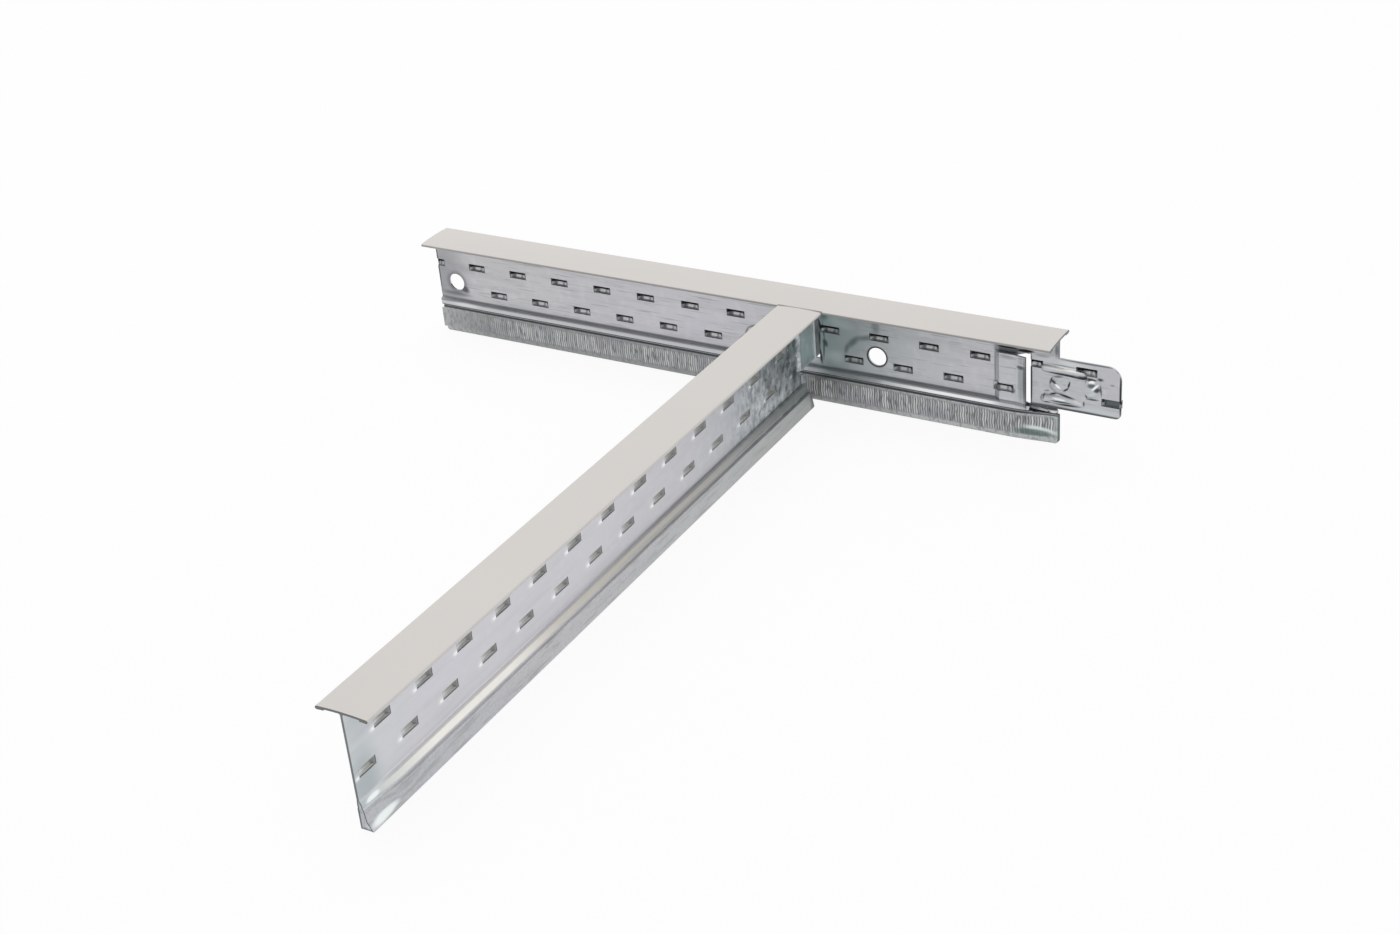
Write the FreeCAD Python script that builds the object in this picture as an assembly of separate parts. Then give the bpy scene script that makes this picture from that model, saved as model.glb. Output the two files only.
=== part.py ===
import FreeCAD, Part
import math
import os
from collections import namedtuple

# Two short ceiling grid tees clipped together in a T, face up, standing on their bulbs.
# Millimetres. The origin is on the floor, where the centre planes of the two webs cross.
# +X runs along the main tee to its coupling tab, the cross tee lies along -Y, and +Z is up.

# The web and the face, which both tees share
face_width = 14.0
tee_height = 32.0
strip = 0.3
cap_strip = 0.3
crown = 0.3
hem_width = 1.8
root_radius = 0.5

# The main tee's hollow bulb, from the floor up. The cross tee's bulb has all heights lower by a drop.
main_bulb_width = 5.0
cross_bulb_width = 5.6
main_bulb_corner = 1.8
cross_bulb_corner = 1.2
bulb_top = 8.7
groove_width = 3.4
groove_height = 9.1
ridge_width = 4.4
ridge_low = 9.45
ridge_high = 9.75
shoulder_width = 2.6
shoulder_height = 10.75
shoulder_radius = 0.8
crease_height = 11.2
fold_radius = 0.2
cross_bulb_drop = 2.6

# The bulb's ends that are pinched towards the web. The shares are what is left there of each width:
# crease, shoulder, ridge high and low, groove, and the bulb's top, middle and lower corner.
pinch_length = 13.0
pinch_steps = 4
pinched_corner = 0.1
end_chamfer = 0.8
flat_shares = [1, 0.35, 0.27, 0.27, 0.3, 0.24, 0.24, 0.24]
pressed_shares = [1, 0.3, 0.2, 0.2, 0.25, 0.2, 0.2, 0.2]
bulged_shares = [1, 0.45, 0.42, 0.44, 0.52, 0.42, 0.56, 1]

# Lengths of the two tees, from the cut end to the end of the painted face
main_length = 207.5
main_reach = 75.0
cross_length = 208.8
butt_gap = 0.2

# Lanced stitches, which lock the two layers of the web together
stitch_pitch = 15.4
stitch_length = 6.0
stitch_height = 2.3
stitch_depth = 1.1
stitch_ramp = 1.1
upper_row = 23.0
lower_row = 14.7
main_upper_start = -0.25
main_lower_start = 7.0
cross_upper_start = 11.8
cross_lower_start = 4.5
stitch_clearance = 0.5

# Round hanger holes in the main tee's web
hole_diameter = 5.6
hole_height = 17.0
hole_places = [-126.0, -17.9, 20.5]

# The upright slot in the main tee's web that takes the tabs of cross tees
slot_width = 3.1
slot_low = 13.3
slot_high = 26.4
slot_offset = 0.65

# The coupling at the main tee's right end
tab_length = 17.6
tab_low = 10.9
tab_high = 26.3
tab_top_corner = 4.0
tab_low_corner = 1.6
latch_slot_width = 1.4
latch_slot_setback = 8.2
latch_slot_low = 10.4
latch_slot_high = 26.2
pocket_length = 9.0
pocket_depth = 1.3
pocket_lip = 0.6
pocket_ramp = 1.8
pocket_lip_length = 2.6
pocket_high = 25.7
pocket_overlap = 0.8
pocket_wedge_length = 3.6
pocket_stitch_rise = 0.6
tab_stitch_rise = 0.6
undercut_low = 9.1
undercut_window = 2.6

# What is pressed into the tab
rib_start = -4.1
rib_end = 6.8
rib_height = 22.9
rib_droop = 0.7
rib_width = 2.2
rib_rise = 0.9
boss_place = 0.0
boss_height = 18.5
boss_diameter = 5.8
boss_rise = 0.8
detent_place = 7.6
detent_height = 18.8
detent_diameter = 6.0
detent_rise = 1.2
detent_overlap = 0.8
louver_start = -4.0
louver_end = 6.8
louver_height = 13.7
louver_radius = 1.3
louver_sink = 0.1
louver_tip_sink = 1.3

# The end of the cross tee
cross_tab_reach = 14.0
cross_tab_low = 13.6
cross_tab_high = 25.2
cross_tab_corner = 3.0
cross_tab_offset = 0.8
cross_fold_setback = 2.6
cross_fold_length = 1.4
cross_bulb_reach = 1.0
cross_bulb_setback = 2.8
cross_detent_place = 3.4
lip_flare = 1.1
lip_length = 2.2
lip_high = 11.6

# The shear cut at the main tee's left end, which takes a corner off the bulb
shear_setback = 2.0
shear_low = 8.2
shear_high = 10.9

# Room by which a cutting shape passes the strip that it cuts, and the shortest edge of an outline
past = 1.0
shortest_edge = 1e-6

# A bulb's form: how far its heights lie below the main tee's, its width and the round of its lower corners
Bulb = namedtuple("Bulb", "drop width corner")
main_bulb = Bulb(0, main_bulb_width, main_bulb_corner)
cross_bulb = Bulb(cross_bulb_drop, cross_bulb_width, cross_bulb_corner)

web_thickness = 2 * strip
web_half = web_thickness / 2
bulb_neck = strip
crown_radius = (face_width ** 2 / 4 + crown ** 2) / (2 * crown)
crown_centre = tee_height - crown_radius
flange_top_radius = crown_radius - cap_strip
flange_low_radius = flange_top_radius - strip
flange_middle_radius = (flange_top_radius + flange_low_radius) / 2
hem_low_radius = flange_low_radius - cap_strip
edge_radius = cap_strip + strip / 2
edge_angle = math.asin((face_width / 2 - edge_radius) / flange_middle_radius)
hem_angle = edge_angle - hem_width / flange_middle_radius
flange_underside = crown_centre + flange_low_radius
tab_root = -latch_slot_setback
cross_length_to_centre = face_width / 2 + butt_gap


def vector(x, y, z):
    return FreeCAD.Vector(x, y, z)


def crown_point(radius, angle):
    """A point of the section on a circle about the crown's centre, at an angle from the vertical."""
    return vector(0, radius * math.sin(angle), crown_centre + radius * math.cos(angle))


def crown_arc(radius, first, last):
    """An arc of the section, concentric with the crowned face."""
    ends = crown_point(radius, first), crown_point(radius, last)
    return Part.Arc(ends[0], crown_point(radius, (first + last) / 2), ends[1]).toShape()


def edge_arc(radius, side):
    """Half a turn round the flange's edge, from the upper face of the strip to the lower."""
    middle = crown_point(flange_middle_radius, side * edge_angle)
    outwards = vector(0, side * math.cos(edge_angle), -math.sin(edge_angle))
    start = crown_point(flange_middle_radius + radius, side * edge_angle)
    end = crown_point(flange_middle_radius - radius, side * edge_angle)
    return Part.Arc(start, middle + outwards * radius, end).toShape()


def rounded_wire(corners):
    """A closed wire through corners (point, radius), with each corner rounded by its radius."""
    edges = []
    ends = []
    count = len(corners)
    for index, (point, radius) in enumerate(corners):
        before = (corners[index - 1][0] - point).normalize()
        after = (corners[(index + 1) % count][0] - point).normalize()
        half = before.getAngle(after) / 2
        reach = radius / math.tan(half)
        start = point + before * reach
        end = point + after * reach
        if radius > 0:
            bisector = (before + after).normalize()
            top = point + bisector * (radius / math.sin(half) - radius)
            edges.append(Part.Arc(start, top, end).toShape())
        ends.append((start, end))
    for index in range(count):
        start = ends[index][1]
        end = ends[(index + 1) % count][0]
        if start.distanceToPoint(end) > shortest_edge:
            edges.append(Part.makeLine(start, end))
    return Part.Wire(Part.__sortEdges__(edges))


def closed(plus_side, minus_side, middle_points=()):
    """The closed outline of corners on the +Y side, others to mirror to -Y, and points between the two."""
    middle = [(point, 0) for point in middle_points]
    other = [(vector(point.x, -point.y, point.z), radius) for point, radius in reversed(minus_side)]
    return rounded_wire(middle + plus_side + other)


def offset_inwards(points, distance):
    """The points of an open outline, moved towards the web's centre plane by a distance."""
    normals = []
    for first, second in zip(points, points[1:]):
        along = (second - first).normalize()
        normals.append(vector(0, along.z, -along.y))
    moved = []
    for index in range(1, len(points) - 1):
        before = normals[index - 1]
        after = normals[index]
        bisector = (before + after).normalize()
        moved.append(points[index] + bisector * (distance / bisector.dot(before)))
    return moved


def bulb_side(form, pinch, shares):
    """One side of the bulb from the crease down, as (point, fold radius), pinched to its shares by 0 to 1.

    The round of the lower corner is three folds that touch it.
    """
    touch = form.corner * math.tan(math.pi / 12)
    profile = [
        (web_thickness, crease_height, fold_radius),
        (shoulder_width, shoulder_height, shoulder_radius),
        (ridge_width, ridge_high, fold_radius),
        (ridge_width, ridge_low, fold_radius),
        (groove_width, groove_height, fold_radius),
        (form.width, bulb_top, fold_radius),
        (form.width, (bulb_top + form.drop) / 2, 0),
        (form.width, form.drop + form.corner - touch, 0),
        (form.width - 2 * touch, form.drop + touch, 0),
        (form.width - 2 * (form.corner - touch), form.drop, 0),
    ]
    side = []
    for (width, height, radius), share in zip(profile, shares + shares[-1:] * 2):
        half = width / 2 * (1 + (share - 1) * pinch)
        folded = radius + (min(radius, pinched_corner) - radius) * pinch
        side.append((vector(0, half, height - form.drop), folded))
    return side


def bulb_outline(form, pinch, both_shares):
    """The bulb's outline up to a little of the web."""
    neck = (vector(0, web_half, crease_height - form.drop + bulb_neck), 0)
    return closed(*[[neck] + bulb_side(form, pinch, shares) for shares in both_shares])


def hollow_outline(form, pinch, both_shares):
    """The outline of the bulb's hollow, one strip inside the bulb's own."""
    tops = []
    sides = []
    for shares in both_shares:
        side = [point for point, radius in bulb_side(form, pinch, shares)]
        inner = offset_inwards([vector(0, web_half, tee_height)] + side + [vector(0, 0, 0)], strip)
        tops.append(inner[0])
        sides.append([(point, 0) for point in inner[1:]])
    return closed(*sides, [(tops[0] + tops[1]) / 2])


def web_section(form):
    """The web in section, from the flange down into the neck of the bulb."""
    top = flange_underside + strip / 2
    side = [
        (vector(0, web_half + root_radius, top), 0),
        (vector(0, web_half + root_radius, flange_underside), 0),
        (vector(0, web_half, flange_underside), root_radius),
        (vector(0, web_half, crease_height - form.drop), 0),
    ]
    return Part.Face(closed(side, side))


def pinched_run(outline, form, both_shares, start, end):
    """A solid through outlines of the bulb or its hollow, from the full width at start to the pinched end."""
    wires = []
    for step in range(pinch_steps + 1):
        share = step / pinch_steps
        wire = outline(form, share * share * (3 - 2 * share), both_shares)
        wire.translate(vector(start + (end - start) * share, 0, 0))
        wires.append(wire)
    return Part.makeLoft(wires, True, True)


def bulb(form, plain_end, pinched_end, both_shares):
    """The hollow bulb along X, with the shares of its +Y and -Y sides at the pinched end."""
    pinch_start = pinched_end - math.copysign(pinch_length, pinched_end - plain_end)
    shapes = []
    for outline in (bulb_outline, hollow_outline):
        plain = run(Part.Face(outline(form, 0, both_shares)), plain_end, pinch_start)
        shapes.append([plain, pinched_run(outline, form, both_shares, pinch_start, pinched_end)])
    return shapes[0][0].fuse(shapes[0][1]).cut(shapes[1])


def flange_section():
    """The flange in section: a crowned strip with rounded edges."""
    return Part.Face(Part.Wire(Part.__sortEdges__([
        crown_arc(flange_top_radius, -edge_angle, edge_angle),
        edge_arc(strip / 2, 1),
        crown_arc(flange_low_radius, edge_angle, -edge_angle),
        edge_arc(strip / 2, -1),
    ])))


def cap_section():
    """The painted cap in section: a crowned strip whose hems are folded round the flange."""
    edges = [
        crown_arc(crown_radius, -edge_angle, edge_angle),
        crown_arc(flange_top_radius, -edge_angle, edge_angle),
    ]
    for side in (-1, 1):
        edges.append(edge_arc(edge_radius, side))
        edges.append(edge_arc(strip / 2, side))
        edges.append(crown_arc(hem_low_radius, side * edge_angle, side * hem_angle))
        edges.append(crown_arc(flange_low_radius, side * edge_angle, side * hem_angle))
        edges.append(Part.makeLine(crown_point(hem_low_radius, side * hem_angle),
                                   crown_point(flange_low_radius, side * hem_angle)))
    return Part.Face(Part.Wire(Part.__sortEdges__(edges)))


def run(section, start, end):
    """A section carried along X from start to end."""
    face = section.copy()
    face.translate(vector(start, 0, 0))
    return face.extrude(vector(end - start, 0, 0))


def block(x_range, y_range, z_range):
    """A box between two places on each axis."""
    low = [min(pair) for pair in (x_range, y_range, z_range)]
    size = [abs(pair[1] - pair[0]) for pair in (x_range, y_range, z_range)]
    return Part.makeBox(size[0], size[1], size[2], vector(*low))


def through(x_range, z_range):
    """A box right through the web and what stands out of it."""
    return block(x_range, (-face_width / 2, face_width / 2), z_range)


def prism(outline):
    """A solid right through the web and what stands out of it, from an outline of (x, z) points."""
    points = [vector(x, -face_width / 2, z) for x, z in outline]
    return Part.Face(Part.makePolygon(points + points[:1])).extrude(vector(0, face_width, 0))


def end_corner(end, inwards):
    """What a chamfer takes off the lower corner of a bulb's end, with inwards as 1 or -1 along X."""
    return prism([
        (end - inwards * past, end_chamfer + past),
        (end + inwards * (end_chamfer + past), -past),
        (end - inwards * past, -past),
    ])


def upright_plate(path, low, high):
    """A plate of the web's thickness whose middle line is a path of (x, y) points, seen from above."""
    points = [vector(x, y, low) for x, y in path]
    normals = []
    for first, second in zip(points, points[1:]):
        along = (second - first).normalize()
        normals.append(vector(-along.y, along.x, 0))
    joints = [normals[0]]
    for before, after in zip(normals, normals[1:]):
        bisector = (before + after).normalize()
        joints.append(bisector * (1 / bisector.dot(before)))
    joints.append(normals[-1])
    one_side = [point + joint * web_half for point, joint in zip(points, joints)]
    other_side = [point - joint * web_half for point, joint in zip(points, joints)]
    outline = Part.makePolygon(one_side + other_side[::-1] + one_side[:1])
    return Part.Face(outline).extrude(vector(0, 0, high - low))


def stitch_window(place, height):
    """The opening that a stitch leaves in the web."""
    return through((place - stitch_length / 2, place + stitch_length / 2),
                   (height - stitch_height / 2, height + stitch_height / 2))


def stitch_strap(place, height, plane):
    """The strip of web between the two cuts of a stitch, pushed out to the +Y side."""
    half = stitch_length / 2
    path = [
        (place - half, plane),
        (place - half + stitch_ramp, plane + stitch_depth),
        (place + half - stitch_ramp, plane + stitch_depth),
        (place + half, plane),
    ]
    strap = upright_plate(path, height - stitch_height / 2, height + stitch_height / 2)
    return strap.common(stitch_window(place, height))


def rounded_plate(x_range, z_range, plane, corners):
    """A flat plate of the web's thickness, with a radius for each corner from the low left round."""
    points = [
        vector(x_range[0], plane - web_half, z_range[0]),
        vector(x_range[1], plane - web_half, z_range[0]),
        vector(x_range[1], plane - web_half, z_range[1]),
        vector(x_range[0], plane - web_half, z_range[1]),
    ]
    outline = rounded_wire(list(zip(points, corners)))
    return Part.Face(outline).extrude(vector(0, web_thickness, 0))


def cap_radius(chord, rise):
    """The radius of a round form that stands out of a face by its rise over a chord."""
    return (chord ** 2 / 4 + rise ** 2) / (2 * rise)


def pressed_bead(start, end, height, width, rise, plane):
    """A bead pressed out of the web to the -Y side, round in section and at its ends."""
    radius = cap_radius(width, rise)
    centre = plane - web_half - rise + radius
    shapes = []
    for reach in (radius, radius - web_thickness):
        body = Part.makeCylinder(reach, end - start, vector(start, centre, height), vector(1, 0, 0))
        ends = [Part.makeSphere(reach, vector(place, centre, height)) for place in (start, end)]
        shapes.append(body.fuse(ends))
    room = width + past
    front = block((start - room, end + room), (plane, plane - room), (height - room, height + room))
    return shapes[0].common(front), shapes[1]


def pressed_dome(place, height, diameter, rise, plane):
    """A shallow dome pressed out of the web to the -Y side, and the hollow behind it."""
    radius = cap_radius(diameter, rise)
    centre = vector(place, plane - web_half - rise + radius, height)
    front = block((place - radius, place + radius), (plane, plane - radius),
                  (height - radius, height + radius))
    hollow = Part.makeSphere(radius - web_thickness, centre)
    return Part.makeSphere(radius, centre).common(front), hollow


def pressed_detent(place, height, plane):
    """A latch detent: a dome sheared along an upright line at its left, and the hollow behind it."""
    middle = place + detent_overlap
    dome, hollow = pressed_dome(middle, height, detent_diameter, detent_rise, plane)
    room = detent_diameter
    shear = block((place, place - room), (plane - room, plane + room), (height - room, height + room))
    return dome.cut(shear), hollow.cut(shear)


def pressed_louver(plane):
    """A louver that sinks into the web to a point at its right, and the hollow behind it."""
    length = louver_end - louver_start
    foot = vector(louver_start, plane - web_half + louver_sink, louver_height)
    axis = vector(length, louver_tip_sink - louver_sink, 0)
    shapes = []
    for radius in (louver_radius, louver_radius - strip):
        body = Part.makeCylinder(radius, axis.Length, foot, axis)
        shapes.append(body.fuse(Part.makeSphere(radius, foot)))
    room = length + louver_radius
    front = block((louver_start - room, louver_end + room), (plane, plane - room),
                  (louver_height - room, louver_height + room))
    return shapes[0].common(front), shapes[1]


def stitch_places(first, last, start):
    """Places of a row's stitches, one pitch apart, from a cut end to the last place that they reach."""
    count = math.floor((last - first - start) / stitch_pitch) + 1
    return [first + start + index * stitch_pitch for index in range(count)]


def clear_of(places, openings):
    """The places whose stitches stay clear of openings given as (middle, width)."""
    room = stitch_length / 2 - stitch_clearance
    return [p for p in places if all(abs(p - middle) > width / 2 + room for middle, width in openings)]


def stitched(body, stitches):
    """The web with its stitches, given as (place, height, plane of the web there)."""
    windows = [stitch_window(place, height) for place, height, plane in stitches]
    straps = [stitch_strap(place, height, plane) for place, height, plane in stitches]
    return body.cut(windows).fuse(straps)


def with_pressings(body, pressings):
    """The web with pressed forms, each given as what stands out and the hollow behind it."""
    fronts = [front for front, hollow in pressings]
    hollows = [hollow for front, hollow in pressings]
    return body.fuse(fronts).cut(hollows)


def one_solid(shape):
    """The only solid of a shape, with faces that lie on one surface joined."""
    solids = shape.removeSplitter().Solids
    if len(solids) != 1:
        raise ValueError("a folded strip is in %d pieces" % len(solids))
    return solids[0]


def main_tab():
    """The main tee's coupling tab, with its stitches and all that is pressed into it."""
    low_corners = (0, tab_low_corner, tab_top_corner, 0)
    tab = rounded_plate((tab_root, tab_length), (tab_low, tab_high), 0, low_corners)
    louver_middle = (louver_start + louver_end) / 2
    upper = stitch_places(-main_length, tab_length, main_upper_start)
    lower = stitch_places(-main_length, tab_length, main_lower_start)
    lower = clear_of(lower, [(louver_middle, louver_end - louver_start)])
    stitches = [(place, upper_row + tab_stitch_rise, 0) for place in upper]
    stitches += [(place, lower_row + tab_stitch_rise, 0) for place in lower]
    stitches = [stitch for stitch in stitches if stitch[0] + stitch_length / 2 > tab_root]
    rib = pressed_bead(rib_start, rib_end, rib_height, rib_width, rib_rise, 0)
    rib_slope = math.degrees(math.atan(rib_droop / (rib_end - rib_start)))
    for shape in rib:
        shape.rotate(vector(rib_start, 0, rib_height), vector(0, 1, 0), rib_slope)
    tab = with_pressings(stitched(tab, stitches), [
        rib,
        pressed_dome(boss_place, boss_height, boss_diameter, boss_rise, 0),
        pressed_detent(detent_place, detent_height, 0),
        pressed_louver(0),
    ])
    return tab.cut([
        through((tab_root - stitch_length, tab_root), (0, tee_height)),
        through((tab_length, tab_length + stitch_length), (0, tee_height)),
    ])


def main_web():
    """The main tee's strip: flange, stitched web, bulb, holes, slot and coupling end."""
    left = -main_length
    body = run(web_section(main_bulb), left, 0).fuse([
        run(flange_section(), left, 0),
        bulb(main_bulb, left, 0, (flat_shares, flat_shares)),
    ])

    pocket_right = tab_root - latch_slot_width
    pocket_left = pocket_right - pocket_length
    window_high = pocket_high - pocket_overlap
    wedge_left = pocket_right - pocket_wedge_length
    room = face_width / 2
    body = body.cut([
        through((pocket_left, pocket_right), (crease_height, window_high)),
        prism([
            (wedge_left, window_high - past),
            (wedge_left, window_high),
            (pocket_right, latch_slot_high),
            (pocket_right, window_high - past),
        ]),
        through((pocket_right, tab_root), (latch_slot_low, latch_slot_high)),
        block((tab_root, past), (-room, web_half), (undercut_low, tab_high)),
        through((-undercut_window, past), (undercut_low, tab_high)),
    ])
    pocket = upright_plate([
        (pocket_left, 0),
        (pocket_left + pocket_ramp, -pocket_depth),
        (pocket_right - pocket_lip_length, -pocket_depth),
        (pocket_right + pocket_lip, -pocket_depth - pocket_lip),
    ], ridge_high, pocket_high)
    body = body.fuse(pocket)

    slot_middle = slot_offset - main_reach
    holes = [place - main_reach for place in hole_places]
    openings = [(place, hole_diameter) for place in holes] + [(slot_middle, slot_width)]
    last = pocket_right - stitch_length / 2
    upper = stitch_places(left, last, main_upper_start)
    lower = clear_of(stitch_places(left, last, main_lower_start), openings)
    stitches = [(place, upper_row, 0) for place in upper]
    stitches += [(place, lower_row, 0) for place in lower if place < pocket_left]
    in_pocket = [place for place in lower if place > pocket_left]
    stitches += [(place, lower_row + pocket_stitch_rise, -pocket_depth) for place in in_pocket]
    body = stitched(body, stitches)

    cuts = [Part.makeCylinder(hole_diameter / 2, face_width, vector(place, -face_width / 2, hole_height),
                              vector(0, 1, 0)) for place in holes]
    cuts.append(through((slot_middle - slot_width / 2, slot_middle + slot_width / 2), (slot_low, slot_high)))
    cuts.append(through((left - stitch_length, left), (0, tee_height)))
    cuts.append(prism([
        (left - past, shear_high),
        (left, shear_high),
        (left + shear_setback, shear_low),
        (left + shear_setback, -past),
        (left - past, -past),
    ]))
    cuts.append(end_corner(0, -1))
    return one_solid(body.cut(cuts).fuse(main_tab()))


def cross_web():
    """The cross tee's strip: flange, stitched web, bulb, and the tab that goes through the slot."""
    left = -cross_length
    tip = cross_length_to_centre + cross_tab_reach
    crease = crease_height - cross_bulb.drop
    body = run(web_section(cross_bulb), left, 0).fuse([
        run(flange_section(), left, 0),
        bulb(cross_bulb, cross_bulb_reach, left, (pressed_shares, bulged_shares)),
    ])
    fold = -cross_fold_setback
    body = body.cut([
        through((fold, past + cross_bulb_reach), (crease, cross_tab_low)),
        through((fold - cross_fold_length, past), (cross_tab_low, cross_tab_high)),
        prism([
            (cross_bulb_reach, 0),
            (cross_bulb_reach - cross_bulb_setback, crease),
            (cross_bulb_reach + past, crease),
            (cross_bulb_reach + past, 0),
        ]),
        end_corner(left, 1),
    ])
    folded = upright_plate([
        (fold - cross_fold_length, 0),
        (fold, -cross_tab_offset),
        (0, -cross_tab_offset),
    ], cross_tab_low, cross_tab_high)
    tab = rounded_plate((0, tip), (cross_tab_low, cross_tab_high), -cross_tab_offset,
                        (0, cross_tab_corner, cross_tab_corner, 0))
    lip = upright_plate([
        (fold, 0),
        (fold + lip_length / 2, 0),
        (fold + lip_length, -lip_flare),
    ], crease - fold_radius, lip_high)
    body = body.fuse([folded, tab, lip])

    last = fold - cross_fold_length - stitch_length / 2
    stitches = [(place, upper_row, 0) for place in stitch_places(left, last, cross_upper_start)]
    stitches += [(place, lower_row, 0) for place in stitch_places(left, last, cross_lower_start)]
    body = stitched(body, stitches)
    behind = cross_length_to_centre + cross_detent_place
    body = with_pressings(body, [
        pressed_detent(behind, (cross_tab_low + cross_tab_high) / 2, -cross_tab_offset),
    ])
    return one_solid(body)


def cap(length):
    """The painted cap of a tee."""
    return run(cap_section(), -length, 0)


def placed(shape, x, y, turn):
    """A shape turned about the vertical and moved to its place in the T."""
    copy = shape.copy()
    copy.rotate(vector(0, 0, 0), vector(0, 0, 1), turn)
    copy.translate(vector(x, y, 0))
    return copy


nodes = {
    "main_tee_web": placed(main_web(), main_reach, 0, 0),
    "main_tee_cap": placed(cap(main_length), main_reach, 0, 0),
    "cross_tee_web": placed(cross_web(), 0, -cross_length_to_centre, 90),
    "cross_tee_cap": placed(cap(cross_length), 0, -cross_length_to_centre, 90),
}

os.makedirs("parts", exist_ok=True)
for name, shape in nodes.items():
    shape.exportStep("parts/" + name + ".step")
    print(name, shape.isValid(), len(shape.Solids), round(shape.Volume, 1))
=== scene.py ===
import functools
import math
import operator
from collections import namedtuple

import bmesh
import bpy
import numpy as np
from mathutils import Euler, Matrix, Vector


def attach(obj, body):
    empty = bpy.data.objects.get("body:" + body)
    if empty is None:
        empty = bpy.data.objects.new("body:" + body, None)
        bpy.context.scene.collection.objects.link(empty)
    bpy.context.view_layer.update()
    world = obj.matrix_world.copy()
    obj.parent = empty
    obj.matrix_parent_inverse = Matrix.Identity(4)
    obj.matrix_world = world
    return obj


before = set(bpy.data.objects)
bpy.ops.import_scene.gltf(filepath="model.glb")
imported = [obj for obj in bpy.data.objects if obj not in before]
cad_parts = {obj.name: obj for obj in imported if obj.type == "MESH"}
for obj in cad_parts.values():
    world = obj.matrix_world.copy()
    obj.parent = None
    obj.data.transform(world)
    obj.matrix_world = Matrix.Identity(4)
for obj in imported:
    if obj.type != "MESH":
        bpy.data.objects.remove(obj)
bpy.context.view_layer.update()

# Two ceiling grid tees clipped together in a T. The main tee lies along X and the cross tee along
# -Y, and both stand on their bulbs at z = 0 with the painted faces up. The camera, the lamp and the
# floor are given in metres, and everything after them in millimetres.
MM = 0.001

# The photograph's camera, from the corners of both tees
PHOTO_WIDTH = 1400
FOCAL_PIXELS = 2117.0
SENSOR_WIDTH = 36.0
CLIP_START = 0.01
CLIP_END = 20.0
CAMERA_PLACE = Vector((0.26121, -0.48191, 0.28779))
CAMERA_FORWARD = Vector((-0.4642, 0.7377, -0.4902))
CAMERA_RIGHT = Vector((0.8661, 0.4939, -0.0769))

# The studio: plain light from all round and one soft lamp, over a pale floor that the camera and
# the metal see as nearly white
WORLD_LIGHT = 0.74
LAMP_PLACE = Vector((-0.3, 0.2, 1.2))
LAMP_AIM = Vector((-0.02, -0.08, 0.02))
LAMP_SIZE = 0.9
LAMP_POWER = 4.2
FLOOR_HALF = 3.0
FLOOR_PALE = 0.9
FLOOR_WHITE_SEEN = 0.92
FLOOR_WHITE_REFLECTED = 0.82

# The main tee's ends, and the cross tee's
MAIN_LEFT = -132.5
MAIN_RIGHT = 75.0
TAB_END = 92.6
TAB_ROOT = 66.8
CROSS_NEAR = -216.0

# Half the web's thickness, the heights between which the main bulb goes over into its groove, and
# how far the cross tee's bulb lies below it
WEB_HALF = 0.3
BULB_TOP = 8.7
GROOVE = 9.1
CROSS_DROP = 2.6

# Lanced stitches: pitch along a row, half a window's length and height, the two rows' heights, the
# middle of one stitch of each row, and how much higher the rows are in the coupling, with the
# places where they go up
PITCH = 15.4
WINDOW_HALF_LENGTH = 3.0
WINDOW_HALF_HEIGHT = 1.15
UPPER_ROW = 23.0
LOWER_ROW = 14.7
MAIN_UPPER = -132.75
MAIN_LOWER = -125.5
CROSS_UPPER = -204.2
CROSS_LOWER = -211.5
COUPLING_RISE = 0.6
UPPER_RISES_AT = (66.0, 67.0)
LOWER_RISES_AT = (54.3, 55.3)

# The coupling's pocket, which is pressed into the web
POCKET_DEPTH = 1.3
POCKET_LEFT = 57.3
POCKET_RIGHT = 62.8
POCKET_SOFT = 0.5

# The knurl rolled into the main bulb's sides, with its samples for each pitch and its rows up the
# side. Its skin starts and stops short of the bulb's ends, and its lines come in over one length
# and go out over another.
KNURL_START = 0.9
KNURL_STOP = 0.3
KNURL_PITCH = 0.75
KNURL_DEPTH = 0.09
KNURL_PROUD = 0.012
KNURL_BACK = 0.15
KNURL_LOW = 1.9
KNURL_HIGH = 8.35
KNURL_EDGE = 0.8
KNURL_FADE_IN = 25.0
KNURL_FAINTEST = 0.1
KNURL_FADE_OUT = 1.2
KNURL_STRENGTHS = (0.35, 1.0)
KNURL_WAVER = 0.12
KNURL_WAVER_TURN = 1.7
KNURL_SAMPLES = 7
KNURL_ROWS = 9
KNURL_SEED = 7

# The main bulb's half width, and what its pinched end leaves of it. The end narrows over its length
# by straight steps.
BULB_HALF = 2.5
PINCHED_HALF = 0.6
PINCH_LENGTH = 13.0
PINCH_STEPS = 4

# The drawn strip behind each stitch's window
DISH_HALF_LENGTH = 3.02
DISH_HALF_HEIGHT = 1.2
DISH_EDGE = 0.35
DISH_DRAW = 0.71
DISH_STRIP = 0.12
DISH_SECTIONS = 15
DISH_ROWS = 7

# The mouth of the cross bulb's pinched end: (x, z) points round it, its rings as (share of the
# outline, depth), how far it lies inside the end, how far it is drawn in, and the end's chamfer
PINCHED_MOUTH = [
    (0.3, 8.5), (0.5, 8.05), (0.8, 7.1), (0.82, 6.9), (0.75, 6.5), (1.0, 6.0),
    (1.4, 3.05), (2.6, 0.95), (2.3, 0.45), (1.8, 0.15), (-0.25, 0.15), (-0.4, 0.95),
    (-0.42, 3.05), (-0.42, 6.0), (-0.3, 6.5), (-0.32, 7.1), (-0.28, 8.05),
]
MOUTH_RINGS = [
    (0.05, 0.0), (0.4, 0.0), (0.75, 0.0), (1.0, 0.0), (1.0, 0.25), (0.5, 0.25), (0.05, 0.25),
]
MOUTH_SETBACK = 0.07
MOUTH_DRAW = 0.5
END_CHAMFER = 0.8

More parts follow.
